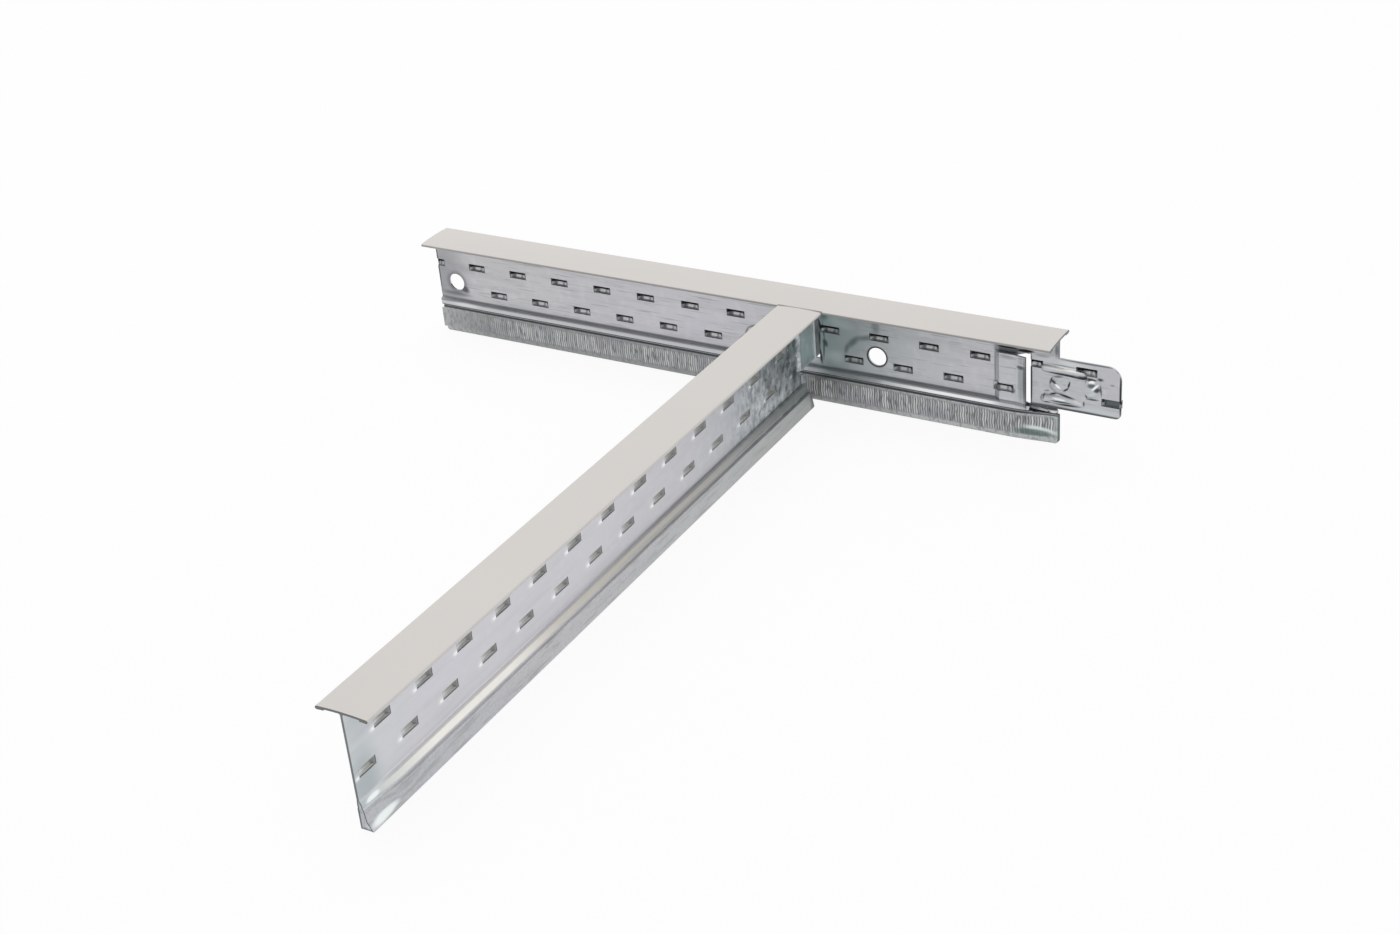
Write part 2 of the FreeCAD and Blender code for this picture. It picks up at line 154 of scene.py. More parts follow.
# The end of the main bulb's folded neck, under the tab
NECK_START = 71.9
NECK_END = 74.75
NECK_HEIGHT = 9.95
NECK_HALF_HEIGHT = 0.97
NECK_HALF_WIDTH = 0.45
NECK_LAST = 0.99
NECK_SECTIONS = 16
NECK_RING = 24

# The share of bare strip that acts as metal, how rough the finishes are, with what a pattern adds
# to them, and how deep their relief is
STRIP_METALLIC = 0.85
STRIP_ROUGHNESS = 0.36
STREAK_ROUGHNESS = 0.14
KNURL_ROUGHNESS = 0.38
GRAIN_ROUGHNESS = 0.2
PAINT_ROUGHNESS = 0.42
MAIN_RELIEF = 0.02
MOTTLE_RELIEF = 0.2
KNURL_RELIEF = 0.03
PAINT_RELIEF = 0.004

# Colours along a tee, as (place, colour), with colours as a colour picker shows them
# The main web's teal dip just right of the cross tee is painted shade and reflection of that tee
MAIN_WEB_TONES = [
    (-132.5, (184, 184, 187)), (-118.0, (198, 198, 201)), (-95.0, (200, 200, 203)),
    (-40.0, (203, 202, 208)), (-5.0, (198, 198, 203)), (5.0, (188, 194, 196)),
    (24.0, (190, 194, 196)), (48.0, (198, 198, 203)), (75.0, (196, 198, 202)),
    (92.6, (194, 194, 198)),
]
MAIN_BULB_TONES = [
    (-132.5, (184, 185, 185)), (-112.0, (158, 159, 160)), (10.0, (154, 155, 156)),
    (35.0, (190, 191, 192)), (75.0, (188, 193, 193)),
]
# Painted shade darkens the knurl's valleys and painted light brightens its crests
KNURL_VALLEY_SHADE = [
    (-132.5, (136, 137, 138)), (-40.0, (126, 127, 128)), (10.0, (120, 121, 122)),
    (75.0, (112, 114, 116)),
]
KNURL_CREST_LIGHT = [(-132.5, (224, 225, 225)), (0.0, (230, 231, 232)), (75.0, (242, 244, 244))]
# The cross web darkens towards the junction with painted shade and reflection of the main tee
CROSS_WEB_TONES = [
    (-216.0, (212, 216, 219)), (-190.0, (214, 213, 219)), (-120.0, (212, 211, 216)),
    (-70.0, (204, 204, 209)), (-45.0, (190, 193, 198)), (-20.0, (184, 191, 194)),
    (0.0, (172, 182, 183)),
]
# The cross bulb darkens towards the junction with painted shade
CROSS_BULB_TONES = [
    (-216.0, (196, 198, 202)), (-150.0, (200, 200, 203)), (-60.0, (194, 195, 196)),
    (-25.0, (180, 182, 182)), (-5.0, (168, 172, 171)),
]
# A painted highlight along the cross tee's ridge, warm white near the cut end and greyer beyond
CROSS_RIDGE_SHINE = [
    (-216.0, (188, 196, 198)), (-206.0, (222, 224, 220)), (-190.0, (250, 248, 240)),
    (-160.0, (246, 244, 236)), (-140.0, (208, 205, 196)), (-110.0, (192, 189, 180)),
    (-70.0, (184, 183, 178)), (-30.0, (182, 186, 185)),
]

# Bands of painted shade and highlight along the bulb's folds, as heights on the main tee: low,
# high, softness, colour and strength
MAIN_FOLD_SHADE_AND_SHINE = [
    (11.0, 11.5, 0.12, (104, 106, 109), 0.8),
    (10.45, 11.0, 0.12, (122, 124, 127), 0.75),
    (9.75, 10.4, 0.1, (198, 200, 202), 0.8),
    (9.35, 9.65, 0.08, (72, 75, 78), 0.95),
    (9.1, 9.3, 0.06, (170, 172, 174), 0.8),
    (8.6, 9.05, 0.08, (84, 87, 90), 0.9),
]
CROSS_FOLD_SHADE = [
    (10.95, 11.45, 0.15, (108, 111, 114), 0.65),
    (10.4, 10.9, 0.12, (156, 158, 160), 0.5),
    (8.8, 9.35, 0.15, (104, 107, 110), 0.35),
]

# The cross tee's ridge with its painted highlight, where its folds and mottles come in along it,
# and how high its fine flecks start
CROSS_RIDGE = (9.4, 10.9, 0.2)
CROSS_RIDGE_STRENGTH = 0.9
FOLDS_COME_IN = (-150.0, -70.0)
MOTTLES_COME_IN = (-56.0, -30.0)
FLECKS_START = (11.3, 12.0)

# How a row's windows are shaded: colours along the window from -3 to 3, the height from which the
# upper cut's shade starts, and the colours of that shade and of the lower cut
Window = namedtuple("Window", "tones upper_from upper lower")
MAIN_STRAP_TONES = [
    (-3.0, (176, 177, 179)), (-2.3, (160, 161, 163)), (-1.9, (112, 114, 116)),
    (-1.4, (118, 120, 122)), (-1.0, (192, 193, 194)), (0.5, (198, 199, 200)),
    (0.8, (146, 147, 149)), (1.2, (142, 143, 145)), (1.5, (190, 191, 192)),
    (2.2, (188, 189, 190)), (3.0, (136, 138, 140)),
]
CROSS_STRAP_TONES = [
    (-3.0, (212, 213, 214)), (-1.4, (208, 209, 210)), (-0.6, (188, 188, 186)),
    (0.3, (176, 176, 172)), (1.5, (168, 168, 164)), (2.3, (140, 141, 139)),
    (2.7, (146, 147, 146)), (3.0, (178, 178, 178)),
]
MAIN_UPPER_WINDOW = Window(MAIN_STRAP_TONES, -0.2, (26, 28, 30), (138, 140, 143))
MAIN_LOWER_WINDOW = Window(MAIN_STRAP_TONES, -0.15, (40, 42, 44), (130, 132, 135))
CROSS_WINDOW = Window(CROSS_STRAP_TONES, 0.45, (150, 151, 150), (186, 187, 187))
WINDOW_SOFT = 0.1
UPPER_CUT_SOFT = 0.3
LOWER_CUT = (-1.1, -0.85)
RECESS_FRONT = 0.1
RECESS_BACK = 1.3
RECESS_SOFT = 0.08

# Glints beside a window's lower near corner: place, height, half length, half height and strength
WINDOW_GLINTS = [(-3.6, -0.7, 1.6, 1.2, 0.3), (-3.5, -0.85, 0.9, 0.5, 1.0)]
WINDOW_GLINT_TONE = (252, 253, 253)
WINDOW_GLINT_FADE = (0.4, 1.2)
WINDOW_GLINT_SKIN = (0.02, 0.08)

# Patches: their limits as (axis, low, high, softness), where None leaves a side open, then colour
# and strength
MAIN_FRONT = ("y", None, 0.05, 0.05)
CROSS_RIGHT = ("x", 0.05, None, 0.05)
MAIN_RIDGE_SHADE_AND_SHINE = [
    # painted shade and reflection dull the ridge in the corner by the cross tee, and a painted
    # highlight shines on it to the right
    ([("x", -2.0, 22.0, 2.0), ("z", 9.7, 10.5, 0.1), MAIN_FRONT], (132, 140, 141), 0.5),
    ([("x", 29.0, None, 11.0), ("x", None, 57.0, 3.0), ("z", 9.75, 10.35, 0.1), MAIN_FRONT],
     (250, 250, 250), 1.0),
]
MAIN_SLOT_PATCHES = [
    # the shaded edge of the cross tee's slot
    ([("x", 2.2, 3.7, 0.15), ("z", 13.1, 26.6, 0.1), ("y", -0.235, None, 0.035)],
     (48, 54, 56), 1.0),
]
MAIN_END_PATCHES = [
    # the tab's last stitch, filled by one dark panel of painted shade
    ([("x", 87.8, 91.9, 0.1), ("z", 13.5, 16.3, 0.1), ("y", -0.2, None, 0.05)],
     (96, 104, 107), 1.0),
    # painted shade on the web's cut end above the tab and below it
    ([("x", 74.75, None, 0.15), ("z", 26.45, None, 0.15)], (92, 100, 103), 0.75),
    ([("x", 74.75, None, 0.15), ("z", None, 10.45, 0.15)], (92, 100, 103), 0.75),
]
CROSS_NEAR_PATCHES = [
    # painted light above the ridge towards the cut end
    ([("y", None, -150.0, 15.0), ("z", 8.3, 9.0, 0.25), CROSS_RIGHT], (230, 230, 230), 0.6),
]
CROSS_END_PATCHES = [
    # the slot's painted shade on the tab, and painted shade on the bulb's end in the corner
    ([("y", -0.7, 1.8, 0.2)], (52, 58, 60), 0.9),
    ([("y", -8.6, None, 0.6), ("z", None, 13.1, 0.2)], (92, 98, 98), 0.65),
    # painted light on the tab's side, with a painted highlight along its lower edge
    ([("y", -9.4, -0.8, 0.3), ("x", 0.85, None, 0.15), ("z", 13.1, None, 0.2)],
     (206, 220, 220), 0.8),
    ([("z", 13.5, 14.0, 0.1), ("y", -9.6, -0.6, 0.2)], (246, 250, 250), 1.0),
    # the cut end
    ([("y", None, CROSS_NEAR + 0.03, 0.02)], (92, 96, 98), 0.85),
]
PAINT_TONES = ((208, 204, 200), (214, 210, 206))
# Dark steel for the caps' cut ends, and painted shade along the hem and where the caps meet
CAP_STEEL_AND_SHADE = (104, 100, 98)
MAIN_CAP_PATCHES = [
    # dark steel at the cut ends, and painted shade on the hem's lower turn and where the cross cap
    # meets this one
    ([("x", MAIN_RIGHT - 0.04, None, 0.02)], CAP_STEEL_AND_SHADE, 1.0),
    ([("x", None, MAIN_LEFT + 0.04, 0.02)], CAP_STEEL_AND_SHADE, 1.0),
    ([("y", None, -6.89, 0.09)], CAP_STEEL_AND_SHADE, 0.6),
    ([("y", None, -6.55, 0.15), ("x", -7.0, 7.0, 0.3)], CAP_STEEL_AND_SHADE, 0.8),
]
CROSS_CAP_PATCHES = [
    # dark steel at the cut end, and painted shade where this cap meets the main one
    ([("y", None, CROSS_NEAR + 0.04, 0.02)], CAP_STEEL_AND_SHADE, 1.0),
    ([("y", -7.45, None, 0.15)], CAP_STEEL_AND_SHADE, 0.7),
]

# Soft spots: centre, half sizes, turn about X and Y in degrees, softness, colour and strength
MAIN_GLINTS = [((-122.5, -1.7, 10.2), (4.5, 1.2, 0.45), (0, 0), 0.6, (236, 236, 236), 0.5)]
PINCHED_DENT_SHADE_AND_SHINE = [
    # a painted highlight on the rim of the dent in the main bulb's pinched end, and painted shade
    # in the dent
    ((70.4, -1.4, 3.9), (5.0, 1.8, 0.9), (0, 10), 0.4, (226, 234, 232), 0.85),
    ((68.2, -1.6, 3.0), (5.8, 2.0, 1.0), (0, 3), 0.35, (104, 120, 119), 0.85),
]
CROSS_GLINTS = [
    ((0.8, -212.3, 7.4), (1.2, 2.2, 0.6), (6, 0), 0.35, (246, 252, 252), 1.0),
    ((1.8, -210.8, 2.0), (1.8, 4.8, 1.0), (6, 0), 0.35, (246, 252, 252), 1.0),
]

# How far a mark reaches through the face that it lies on
MARK_SKIN = 0.25

# Marks on the front of the main tee's web: place along X, height, depth that its face lies back,
# half length, half height, turn in degrees, colour, strength and softness
MAIN_MARKS = [
    # darker grey marks at the cut end, and the hanger hole's shaded rim
    (-129.0, 17.0, 0.0, 6.0, 11.0, 0, (138, 139, 144), 0.5, 0.6),
    (-126.0, 17.0, 0.0, 3.7, 3.7, 0, (122, 124, 128), 0.7, 0.2),
    (-123.2, 15.0, 0.0, 1.6, 1.1, -30, (84, 87, 91), 0.9, 0.5),
    (-127.0, 13.0, 0.0, 5.0, 0.6, -1, (112, 114, 118), 0.75, 0.6),
    (-122.0, 22.4, 0.0, 3.6, 1.2, -10, (168, 169, 173), 0.6, 0.7),
    (-132.3, 22.0, 0.0, 0.3, 8.5, 0, (88, 92, 96), 0.9, 0.4),
    # the dark arc at the cross tee's left
    (-19.9, 19.7, 0.0, 1.5, 0.3, 27, (112, 114, 118), 0.8, 0.5),
    (-21.6, 18.0, 0.0, 1.3, 0.3, 63, (112, 114, 118), 0.8, 0.5),
    (-23.1, 16.0, 0.0, 1.5, 0.3, 43, (118, 120, 124), 0.7, 0.5),
    # painted teal shade and reflection in the corner at the cross tee's right, with its arc,
    # two painted light patches and the second hanger hole's shaded rim
    (6.5, 19.0, 0.0, 10.0, 13.0, 0, (172, 184, 184), 0.75, 0.7),
    (4.5, 19.5, 0.0, 3.0, 7.5, 0, (158, 171, 171), 0.5, 0.6),
    (7.4, 14.5, 0.0, 2.4, 1.8, 20, (214, 226, 226), 0.6, 0.7),
    (9.5, 25.6, 0.0, 3.4, 1.4, -10, (206, 218, 218), 0.6, 0.7),
    (17.0, 22.3, 0.0, 2.6, 0.75, 14, (118, 130, 131), 0.8, 0.7),
    (13.0, 20.4, 0.0, 2.4, 0.9, 46, (110, 122, 124), 0.85, 0.7),
    (10.9, 17.9, 0.0, 1.5, 0.6, 72, (118, 130, 131), 0.8, 0.7),
    (4.0, 27.4, 0.0, 1.9, 1.2, 60, (92, 104, 106), 0.7, 0.7),
    (20.3, 26.6, 0.0, 1.2, 2.6, 0, (116, 128, 130), 0.6, 0.7),
    (20.5, 17.0, 0.0, 3.3, 3.3, 0, (62, 68, 70), 0.95, 0.06),
    # the rough edge of the slot beside the cross tee's tab, darkened with painted shade
    (2.5, 24.2, 0.0, 0.5, 2.2, 14, (44, 50, 52), 0.95, 0.5),
    (2.2, 19.0, 0.0, 0.4, 3.6, -4, (40, 46, 48), 0.95, 0.5),
    (2.5, 14.2, 0.0, 0.45, 2.4, 6, (52, 60, 62), 0.95, 0.5),
    (4.1, 18.6, 0.0, 0.7, 1.2, 20, (66, 74, 76), 0.85, 0.6),
    (3.6, 16.4, 0.0, 0.3, 3.4, -4, (80, 90, 92), 0.8, 0.5),
    (3.7, 22.4, 0.0, 0.3, 2.6, 4, (84, 94, 96), 0.8, 0.5),
    # painted shade over the pocket, painted black shade for the gap under the flange, and painted
    # light and shade on the pocket's folds, its stitch and the lip beside the latch slot
    (60.0, 26.3, 0.0, 3.6, 1.3, 0, (92, 97, 100), 0.95, 0.3),
    (60.0, 27.2, 0.0, 3.4, 0.35, 0, (30, 32, 34), 1.0, 0.4),
    (65.2, 26.9, 0.0, 2.6, 0.5, 2, (32, 34, 36), 1.0, 0.4),
    (60.2, 24.9, 1.3, 3.0, 0.5, -4, (126, 128, 133), 0.8, 0.6),
    (64.7, 18.5, 2.0, 1.1, 7.6, 0, (150, 156, 158), 0.75, 0.4),
    (65.7, 18.0, 2.4, 0.5, 7.6, 0, (84, 92, 95), 0.85, 0.4),
    (63.3, 19.0, 1.6, 0.25, 6.5, 0, (206, 208, 212), 0.7, 0.6),
    (64.6, 22.4, 2.0, 1.3, 0.6, 0, (86, 92, 95), 0.9, 0.4),
    (64.6, 23.2, 2.0, 1.3, 0.3, 0, (196, 200, 202), 0.8, 0.5),
    (57.3, 20.0, 0.8, 0.5, 6.5, 0, (206, 208, 212), 0.6, 0.6),
    (57.6, 14.8, 1.6, 1.6, 1.1, 0, (98, 101, 104), 0.9, 0.3),
    (62.1, 14.8, 1.6, 0.9, 1.0, 0, (118, 121, 124), 0.85, 0.3),
    (56.5, 20.0, 0.0, 0.3, 7.0, 0, (140, 143, 147), 0.8, 0.6),
    # cut edge beside the latch slot, and the shade and light along the tab
    (67.0, 18.4, 0.0, 0.3, 8.0, 0, (56, 64, 66), 0.95, 0.35),
    (70.5, 11.0, 0.0, 5.5, 0.7, 3, (76, 82, 85), 0.85, 0.6),
    (73.2, 10.55, 0.4, 2.4, 0.35, 0, (70, 74, 74), 0.95, 0.5),
    (73.4, 9.65, 0.9, 1.1, 0.42, 0, (236, 238, 236), 0.95, 0.4),
    (71.4, 9.7, 0.9, 1.2, 0.35, 0, (44, 48, 48), 0.95, 0.5),
    (78.6, 25.2, 0.0, 3.2, 0.7, 0, (216, 218, 218), 0.8, 0.6),
    (86.0, 12.2, 0.0, 6.6, 0.9, 0, (206, 212, 215), 0.5, 0.5),
    (92.5, 18.5, 0.0, 0.4, 7.2, 0, (50, 56, 58), 1.0, 0.4),
    (82.0, 11.1, 0.0, 11.0, 0.5, 0, (84, 88, 88), 0.9, 0.5),
    (84.0, 26.2, 0.0, 8.0, 0.3, 0, (96, 102, 104), 0.85, 0.5),
    (91.6, 25.4, 0.0, 1.5, 0.4, -45, (84, 90, 92), 0.85, 0.5),
    (90.1, 20.9, 0.0, 0.6, 0.3, 0, (140, 142, 146), 0.8, 0.6),
    # painted shade on the web under the flange above the tab
    (70.1, 26.4, 0.0, 2.0, 0.5, 0, (140, 143, 146), 0.7, 0.7),
    (72.5, 27.6, 0.0, 2.4, 1.0, 10, (158, 161, 164), 0.6, 0.7),
    (74.3, 28.8, 0.0, 0.5, 1.9, 0, (96, 100, 102), 0.8, 0.6),
    # painted highlight on the rib's crest and painted shade on its underside
    (76.5, 23.6, 1.0, 5.0, 0.45, 0, (240, 240, 236), 0.9, 0.4),
    (76.6, 21.9, 1.0, 5.8, 0.7, 1, (42, 46, 48), 1.0, 0.35),
    (76.3, 24.3, 1.0, 5.2, 0.2, -1, (112, 116, 118), 0.8, 0.5),
    (81.8, 21.9, 1.0, 1.5, 0.75, 0, (50, 56, 58), 1.0, 0.4),
    (86.7, 22.0, 0.5, 0.9, 0.5, 0, (60, 66, 68), 0.95, 0.5),
    (84.2, 21.7, 0.3, 1.4, 0.3, -4, (64, 70, 72), 0.9, 0.5),
    # painted shade in a broken ring round the boss, with painted glints
    (72.8, 19.4, 0.8, 0.3, 1.0, -15, (80, 86, 88), 0.95, 0.4),
    (74.9, 20.9, 0.8, 1.3, 0.25, 5, (104, 109, 111), 0.85, 0.5),
    (73.8, 19.2, 0.8, 0.95, 0.4, -30, (52, 58, 60), 0.95, 0.4),
    (74.9, 18.2, 0.9, 1.0, 0.36, -38, (252, 252, 252), 1.0, 0.35),
    (77.9, 18.9, 0.8, 0.32, 1.2, -12, (50, 56, 58), 1.0, 0.35),
    (77.1, 17.3, 0.8, 0.9, 0.32, 38, (56, 62, 64), 0.95, 0.35),
    # the latch detent, with painted shade round its sheared side and a painted highlight on its
    # crown
    (82.9, 18.3, 0.6, 0.34, 3.0, 2, (52, 58, 60), 1.0, 0.35),
    (84.4, 21.5, 0.8, 1.4, 0.32, 0, (52, 58, 60), 0.95, 0.4),
    (86.9, 18.7, 0.6, 0.28, 1.9, 6, (84, 92, 94), 0.9, 0.4),
    (84.6, 15.6, 0.6, 1.9, 0.34, 2, (76, 84, 86), 0.95, 0.4),
    (84.5, 21.0, 1.3, 0.8, 0.45, 0, (250, 252, 252), 0.95, 0.4),
    (84.4, 20.1, 1.3, 1.0, 0.6, 0, (88, 96, 98), 0.9, 0.5),
    (86.2, 18.8, 1.3, 1.0, 0.8, 20, (64, 72, 74), 0.95, 0.4),
    (85.5, 19.7, 1.3, 1.3, 0.3, 42, (244, 248, 248), 1.0, 0.4),
    (84.8, 17.4, 1.3, 1.1, 0.9, 0, (206, 210, 212), 0.85, 0.5),
    # painted shade along the louver's lips, with painted light between them
    (70.9, 14.3, 1.0, 0.3, 1.0, 0, (92, 98, 100), 0.9, 0.4),
    (71.5, 16.0, 0.5, 0.9, 0.3, 10, (124, 128, 130), 0.8, 0.5),
    (71.8, 13.0, 1.0, 1.0, 0.38, 0, (60, 66, 68), 0.95, 0.4),
    (73.4, 15.4, 1.2, 1.4, 0.42, 12, (44, 48, 50), 1.0, 0.3),
    (77.0, 15.2, 1.2, 3.2, 0.5, -11, (36, 40, 42), 1.0, 0.3),
    (75.8, 13.5, 1.2, 3.2, 0.25, -3, (66, 72, 74), 0.95, 0.35),
    (77.5, 12.5, 1.0, 4.5, 0.42, 2, (48, 54, 56), 1.0, 0.35),
    (82.1, 13.8, 1.0, 0.35, 0.9, 0, (66, 72, 74), 0.95, 0.4),
    (75.3, 14.2, 1.4, 1.8, 0.25, -6, (240, 244, 244), 0.9, 0.35),
    (80.4, 13.9, 1.2, 1.4, 0.42, -20, (216, 220, 222), 0.9, 0.5),
]

# Marks on the right side of the cross tee's web, as for the main tee, with places along Y
CROSS_MARKS = [
    # painted shade and light in mottles by the junction, and painted shade along the fold beside
    # the tab
    (-22.0, 25.0, 0.0, 9.0, 3.6, 0, (136, 146, 147), 0.5, 0.7),
    (-17.0, 19.5, 0.0, 4.5, 1.6, 30, (96, 106, 108), 0.7, 0.7),
    (-26.0, 15.0, 0.0, 4.0, 2.2, 20, (176, 180, 186), 0.7, 0.7),
    (-13.2, 14.0, 0.0, 1.6, 1.8, 0, (90, 99, 101), 0.8, 0.7),
    (-12.4, 24.6, 0.0, 1.4, 1.6, 0, (94, 104, 106), 0.7, 0.7),
    (-11.0, 19.5, 0.0, 0.35, 5.5, 0, (110, 122, 124), 0.8, 0.5),
    # the teal shade at the cut end
    (-213.0, 12.0, 0.0, 4.5, 8.0, 0, (172, 182, 185), 0.7, 0.7),
    (-210.0, 27.0, 0.0, 7.0, 4.0, 0, (186, 192, 196), 0.6, 0.7),
]


class Value:
    """An output of a shader's node, on which arithmetic adds Math nodes."""

    def __init__(self, nodes, socket):
        self.nodes = nodes
        self.socket = socket

    def math(self, operation, *others):
        return self.nodes.add("ShaderNodeMath", {"operation": operation}, [self, *others])

    def other(self, name):
        """Another output of the same node."""
        return Value(self.nodes, self.socket.node.outputs[name])

    def __add__(self, other):
        return self.math("ADD", other)

    def __radd__(self, other):
        return self.math("ADD", other)

    def __sub__(self, other):
        return self.math("SUBTRACT", other)

    def __rsub__(self, other):
        return self.nodes.add("ShaderNodeMath", {"operation": "SUBTRACT"}, [other, self])

    def __mul__(self, other):
        return self.math("MULTIPLY", other)

    def __rmul__(self, other):
        return self.math("MULTIPLY", other)

    def __abs__(self):
        return self.math("ABSOLUTE")


class Nodes:
    """A shader's node tree under construction."""

    def __init__(self, tree):
        self.tree = tree

    def add(self, kind, settings, inputs, output=0):
        """A new node's output: its settings come first, then the values or links of its sockets."""
        node = self.tree.nodes.new(kind)
        for name, value in settings.items():
            if name == "stops":
                ramp = node.color_ramp
                while len(ramp.elements) < len(value):
                    ramp.elements.new(0.5)
                for element, (position, tone) in zip(ramp.elements, value):
                    element.position = position
                    element.color = tone
            else:
                setattr(node, name, value)
        pairs = inputs.items() if isinstance(inputs, dict) else enumerate(inputs)
        for key, value in pairs:
            if isinstance(value, Value):
                self.tree.links.new(value.socket, node.inputs[key])
            else:
                node.inputs[key].default_value = value
        return Value(self, node.outputs[output]) if node.outputs else None

    def vector(self, operation, inputs, output=0):
        """A Vector Math node's output."""
        return self.add("ShaderNodeVectorMath", {"operation": operation}, inputs, output)


class Finish(Nodes):
    """A material under construction around one Principled BSDF. Its places are in millimetres."""

    def __init__(self, name, **constants):
        self.material = bpy.data.materials.new(name)
        self.material.use_nodes = True
        super().__init__(self.material.node_tree)
        self.shader = self.tree.nodes["Principled BSDF"]
        for socket, value in constants.items():
            self.shader.inputs[socket.replace("_", " ")].default_value = value
        metres = self.add("ShaderNodeTexCoord", {}, {}, output="Object")
        self.place = self.vector("SCALE", {0: metres, "Scale": 1 / MM})
        self.x = self.add("ShaderNodeSeparateXYZ", {}, [self.place])
        self.y = self.x.other("Y")
        self.z = self.x.other("Z")

    def step(self, value, low, high):
        """0 below low and 1 above high, with a smooth rise between."""
        inputs = {"Value": value, "From Min": low, "From Max": high}
        return self.add("ShaderNodeMapRange", {"interpolation_type": "SMOOTHSTEP"}, inputs)

    def band(self, value, low, high, soft):
        """1 between low and high, with soft edges."""
        rise = self.step(value, low - soft, low + soft)
        return rise * (1 - self.step(value, high - soft, high + soft))

    def within(self, limits):
        """1 within limits (axis, low, high, softness), where None leaves a side open."""
        axes = {"x": self.x, "y": self.y, "z": self.z}
        parts = []
        for axis, low, high, soft in limits:
            if low is not None:
                parts.append(self.step(axes[axis], low - soft, low + soft))
            if high is not None:
                parts.append(1 - self.step(axes[axis], high - soft, high + soft))
        return functools.reduce(operator.mul, parts)

    def noise(self, scale, detail=2.0, stretch=(1.0, 1.0, 1.0)):
        """Noise from 0 to 1, drawn out along an axis whose stretch is above 1."""
        place = self.vector("MULTIPLY", [self.place, tuple(1 / share for share in stretch)])
        inputs = {"Vector": place, "Scale": scale, "Detail": detail}
        return self.add("ShaderNodeTexNoise", {}, inputs)

    def attribute(self, name):
        """A number that a piece's mesh keeps at its points."""
        return self.add("ShaderNodeAttribute", {"attribute_name": name}, {}, output="Fac")

    def mix(self, share, first, second):
        """A colour that goes from the first to the second."""
        inputs = {0: share, 6: first, 7: second}
        return self.add("ShaderNodeMix", {"data_type": "RGBA"}, inputs, output=2)

    def over(self, under, share, tone):
        """A colour with a plain tone laid over it by a share."""
        return self.mix(share, under, colour(*tone))

    def flecks(self, under, pattern, low, high, strength, tone):
        """A colour with a tone laid over it where a pattern is high."""
        return self.over(under, self.step(pattern, low, high) * strength, tone)

    def ramp(self, value, low, high, tones):
        """A colour that runs through (place, colour) stops, with places from low to high."""
        stops = [((place - low) / (high - low), colour(*tone)) for place, tone in tones]
        inputs = {"Value": value, "From Min": low, "From Max": high}
        share = self.add("ShaderNodeMapRange", {}, inputs)
        return self.add("ShaderNodeValToRGB", {"stops": stops}, [share])

    def spot(self, centre, size, turn, soft):
        """1 inside an ellipsoid and 0 outside, with an edge that is soft by a share of its size."""
        turned = np.array(Euler(turn).to_matrix()).T / np.array(size)[:, None]
        offset = tuple(-turned @ np.array(centre))
        if any(turn):
            parts = [
                self.vector("DOT_PRODUCT", [self.place, tuple(row)], "Value") for row in turned
            ]
            local = self.add("ShaderNodeCombineXYZ", {}, parts)
            local = self.vector("ADD", [local, offset])
        else:
            local = self.vector("MULTIPLY_ADD", [self.place, tuple(turned.diagonal()), offset])
        return 1 - self.step(self.vector("LENGTH", [local], "Value"), 1 - soft, 1 + soft)

    def drive(self, socket, value):
        self.tree.links.new(value.socket, self.shader.inputs[socket])

    def bump(self, height, distance):
        """Drives the normal by a height that runs from 0 to 1 over a distance in millimetres."""
        inputs = {"Height": height, "Distance": distance * MM}
        self.drive("Normal", self.add("ShaderNodeBump", {}, inputs))


def colour(red, green, blue):
    """A linear colour with full alpha, from the sRGB values 0 to 255 that a colour picker shows."""
    channels = np.array([red, green, blue]) / 255
    linear = np.where(channels <= 0.04045, channels / 12.92, ((channels + 0.055) / 1.055) ** 2.4)
    return (*linear.tolist(), 1.0)


def patch_tones(finish, base, patches):
    """Lays a table of patches over a colour."""
    for limits, tone, strength in patches:
        base = finish.over(base, finish.within(limits) * strength, tone)
    return base


def spot_tones(finish, base, spots):
    """Lays a table of soft spots over a colour."""
    for centre, size, (about_x, about_y), soft, tone, strength in spots:
        turn = (math.radians(about_x), math.radians(about_y), 0)
        base = finish.over(base, finish.spot(centre, size, turn, soft) * strength, tone)
    return base


def fold_tones(finish, base, height, share, folds):
    """Lays painted fold shade and a painted ridge highlight over a colour, along the bulb's upper
    part.
    """
    for low, high, soft, tone, strength in folds:
        line = finish.band(height, low, high, soft) * strength
        base = finish.over(base, line * share, tone)
    return base


def on_main(along, height, depth, length, rise, turn):
    """The centre, half sizes and turn of a mark on the main tee's front."""
    size = (length, MARK_SKIN + depth / 2, rise)
    return (along, -WEB_HALF - depth / 2, height), size, (0, -turn, 0)


def on_cross(along, height, depth, length, rise, turn):
    """The centre, half sizes and turn of a mark on the cross tee's right side."""
    size = (MARK_SKIN + depth / 2, length, rise)
    return (WEB_HALF + depth / 2, along, height), size, (turn, 0, 0)


def mark_tones(finish, base, marks, on_tee):
    """Lays a table of marks over a colour."""
    for along, height, depth, length, rise, turn, tone, strength, soft in marks:
        place = on_tee(along, height, depth, length, rise, math.radians(turn))
        base = finish.over(base, finish.spot(*place, soft) * strength, tone)
    return base


def in_row(finish, along, start):
    """A place along a row of stitches, measured from the middle of the nearest stitch."""
    inputs = [along - start, -PITCH / 2, PITCH / 2]
    return finish.add("ShaderNodeMath", {"operation": "WRAP"}, inputs)


